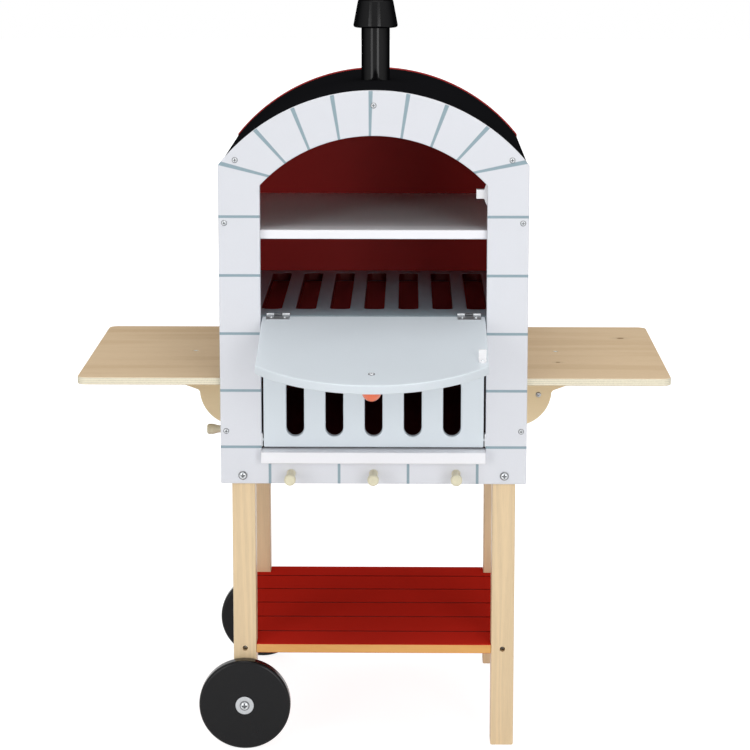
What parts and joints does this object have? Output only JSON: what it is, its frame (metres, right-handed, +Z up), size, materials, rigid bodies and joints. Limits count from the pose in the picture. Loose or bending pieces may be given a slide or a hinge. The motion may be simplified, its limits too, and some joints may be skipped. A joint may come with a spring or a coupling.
{
  "type": "toy oven",
  "caption": "Wooden play oven on a wheeled stand with an arched top, a fold-down arched door, a slotted lower door, side trays and a chimney.",
  "frame": {"origin": "on the floor under the middle of the whole object's outline, its open upper door included", "axes": "+Z up, +Y from the oven's front to its back, +X to the right seen from the front"},
  "size_m": [0.768, 0.6239, 0.9702],
  "materials": {
    "panel_white": "satin paint",
    "door_blue": "satin paint",
    "chamber_red": "satin paint",
    "shelf_red": "gloss paint",
    "grate_grey": "satin paint",
    "roof_black": "gloss",
    "chimney_black": "gloss paint",
    "leg_beech": "clear satin lacquer",
    "ply_wood": "clear satin lacquer",
    "raw_wood": "raw, sanded",
    "knob_orange": "satin paint",
    "wheel_black": "satin paint",
    "zinc": "zinc plated",
    "white_plastic": "satin"
  },
  "bodies": {
    "cart": {"front_panel": "panel_white", "back_panel": "chamber_red", "left_wall": "panel_white", "right_wall": "panel_white", "roof_sheet": "roof_black", "ridge_batten": "leg_beech", "left_roof_batten": "leg_beech", "right_roof_batten": "leg_beech", "chimney_post": "chimney_black", "chimney_cap": "chimney_black", "chimney_screw": "zinc", "upper_shelf": "panel_white", "grate_board": "grate_grey", "floor_board": "chamber_red", "sill_board": "panel_white", "panel_screws": "zinc", "wall_screws": "zinc", "front_left_leg": "leg_beech", "front_right_leg": "leg_beech", "rear_left_leg": "leg_beech", "rear_right_leg": "leg_beech", "leg_bolts": "zinc", "leg_washers": "zinc", "lower_shelf": "shelf_red", "shelf_screws": "zinc", "frame_hinge_leaves": "zinc", "hinge_pins": "zinc", "frame_small_screws": "zinc", "door_catch": "white_plastic", "pivot_plates": "zinc", "pivot_pins": "zinc", "grate_magnet": "white_plastic", "left_tray": "ply_wood", "right_tray": "ply_wood", "left_bracket": "ply_wood", "right_bracket": "ply_wood", "left_cleat": "leg_beech", "right_cleat": "leg_beech", "tray_screws": "zinc", "front_pegs": "raw_wood", "side_peg": "raw_wood", "axle_washers": "zinc", "wheel_spacers": "zinc", "axle_bolts": "zinc"},
    "upper_door": {"upper_door": "door_blue", "upper_knob": "knob_orange", "upper_knob_screw": "zinc", "door_striker": "white_plastic", "door_hinge_leaves": "zinc", "door_small_screws": "zinc"},
    "lower_door": {"lower_door": "door_blue", "lower_knob": "knob_orange", "lower_knob_screw": "zinc", "lower_door_plate": "zinc", "plate_screws": "zinc"},
    "front_wheel": {"front_wheel": "wheel_black"},
    "rear_wheel": {"rear_wheel": "wheel_black"}
  },
  "joints": [
    {"name": "upper_door_hinge", "type": "hinge", "parent": "cart", "child": "upper_door", "pos_m": [0, -0.08704, 0.5773], "axis": [-1, 0, 0], "range_deg": [0, 101.4]},
    {"name": "lower_door_hinge", "type": "hinge", "parent": "cart", "child": "lower_door", "pos_m": [0, -0.09484, 0.4145], "axis": [1, 0, 0], "range_deg": [0, 101.5]},
    {"name": "front_wheel_spin", "type": "hinge", "parent": "cart", "child": "front_wheel", "pos_m": [-0.169, -0.09944, 0.06], "axis": [0, 1, 0], "continuous": true},
    {"name": "rear_wheel_spin", "type": "hinge", "parent": "cart", "child": "rear_wheel", "pos_m": [-0.169, 0.29776, 0.06], "axis": [0, 1, 0], "continuous": true}
  ]
}
